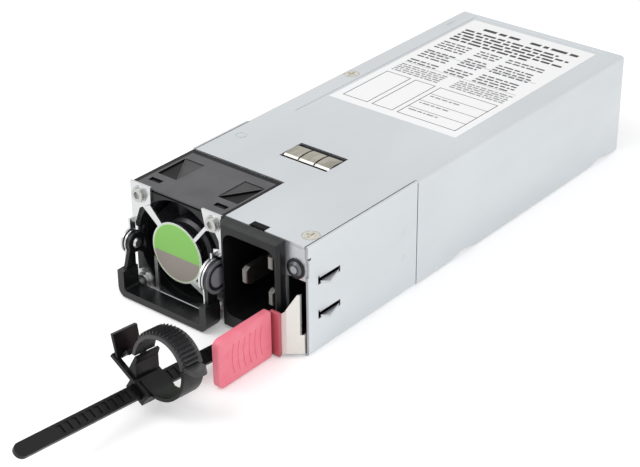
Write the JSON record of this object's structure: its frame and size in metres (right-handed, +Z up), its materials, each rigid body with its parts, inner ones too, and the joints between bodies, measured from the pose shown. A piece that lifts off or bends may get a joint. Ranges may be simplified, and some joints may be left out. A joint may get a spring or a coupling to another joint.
{
  "type": "hot swap server power supply",
  "caption": "Slim metal-cased hot swap server power supply with a fan, mains inlet, bail handle, sprung latch with coloured paddle, and a cord strap with a ratchet ring clamp.",
  "frame": {"origin": "bottom front centre of the housing: middle of the front edge of its underside", "axes": "+X to the right seen from the front, +Y rearwards along the housing, +Z up"},
  "size_m": [0.0758, 0.2951, 0.0393],
  "materials": {
    "zinc_sheet": "zinc-coated sheet, satin",
    "cover_sheet": "zinc-coated sheet, satin",
    "yellow_zinc": "yellow passivated zinc",
    "spring_steel": "nickel plated spring steel",
    "label_white": "printed film",
    "black_plastic": "moulded, fine texture",
    "copper": "enamelled copper wire",
    "gold": "gold plated",
    "screw_steel": "zinc plated",
    "guard_steel": "bright stamped steel",
    "label_green": "printed film",
    "grey_plastic": "moulded, fine texture",
    "tin": "tin plated",
    "lens": "smoked, glossy",
    "board_green": "solder mask",
    "insulator": "film",
    "capacitor_sleeve": "shrink sleeve",
    "ferrite": "sintered ferrite",
    "aluminium": "extruded",
    "film_capacitor": "potted box",
    "ceramic_fuse": "glazed tube",
    "grip_plastic": "moulded, satin",
    "pink_plastic": "moulded, satin",
    "nylon": "moulded nylon, semi-gloss"
  },
  "bodies": {
    "housing": {"chassis": "zinc_sheet", "top_cover": "cover_sheet", "front_panel": "zinc_sheet", "rear_panel": "zinc_sheet", "cover_screws": "yellow_zinc", "ground_spring": "spring_steel", "rating_label": "label_white", "fan_frame": "black_plastic", "fan_motor": "copper", "fan_bearing": "gold", "fan_screws": "screw_steel", "fan_guard": "guard_steel", "guard_label": "label_green", "fan_cover": "grey_plastic", "inlet_housing": "black_plastic", "inlet_pins": "tin", "inlet_clip": "black_plastic", "led_bezel": "black_plastic", "led_lens": "lens", "led_board": "board_green", "latch_root": "spring_steel", "latch_rivets": "screw_steel", "handle_rivets": "guard_steel", "main_board": "board_green", "card_edge_contacts": "gold", "insulator_sheet": "insulator", "board_spacers": "tin", "board_screws": "screw_steel", "bulk_capacitors": "capacitor_sleeve", "output_capacitors": "capacitor_sleeve", "transformer_core": "ferrite", "transformer_winding": "copper", "boost_choke_core": "ferrite", "boost_choke_winding": "copper", "filter_choke": "copper", "primary_heat_sink": "aluminium", "secondary_heat_sink": "aluminium", "power_transistors": "black_plastic", "bridge_rectifier": "black_plastic", "filter_capacitors": "film_capacitor", "relay": "grey_plastic", "fuse": "ceramic_fuse", "control_board": "board_green", "busbars": "tin", "air_baffle": "insulator", "inlet_board": "board_green"},
    "fan_rotor_body": {"fan_rotor": "black_plastic", "fan_shaft": "screw_steel"},
    "handle": {"handle_arms": "guard_steel", "handle_covers": "grip_plastic", "handle_grip": "grip_plastic"},
    "latch": {"latch_spring": "spring_steel", "latch_grip": "pink_plastic"},
    "cord_strap": {"strap": "nylon", "strap_rivet": "nylon"},
    "clamp": {"clamp_base": "nylon"},
    "clamp_ring_arm": {"clamp_arm": "nylon"},
    "clamp_tab": {"clamp_release": "nylon"}
  },
  "joints": [
    {"name": "fan_spin", "type": "hinge", "parent": "housing", "child": "fan_rotor_body", "pos_m": [-0.0162, 0.012, 0.0192], "axis": [0, 1, 0], "continuous": true},
    {"name": "handle_pivot", "type": "hinge", "parent": "housing", "child": "handle", "pos_m": [-0.0162, -0.0033, 0.0178], "axis": [-1, 0, 0], "range_deg": [0, 100]},
    {"name": "latch_flex", "type": "hinge", "parent": "housing", "child": "latch", "pos_m": [0.03565, 0.0437, 0.0125], "axis": [0, 0, -1], "range_deg": [0, 3.9], "stiffness_Nm_per_rad": 2},
    {"name": "strap_swivel", "type": "hinge", "parent": "housing", "child": "cord_strap", "pos_m": [0.0167, -0.0035, 0.0028], "axis": [0, -0.9952, 0.0976], "range_deg": [0, 30]},
    {"name": "clamp_slide", "type": "slide", "parent": "cord_strap", "child": "clamp", "axis": [0, -0.9952, 0.0976], "range_m": [-0.01, 0.036]},
    {"name": "ring_open", "type": "hinge", "parent": "clamp", "child": "clamp_ring_arm", "pos_m": [0.03302, -0.0481, 0.01933], "axis": [0, 0.9952, -0.0976], "range_deg": [0, 50]},
    {"name": "release_press", "type": "hinge", "parent": "clamp", "child": "clamp_tab", "pos_m": [0.00799, -0.0507, 0.01538], "axis": [0, 0.9952, -0.0976], "range_deg": [0, 12], "stiffness_Nm_per_rad": 0.05}
  ]
}
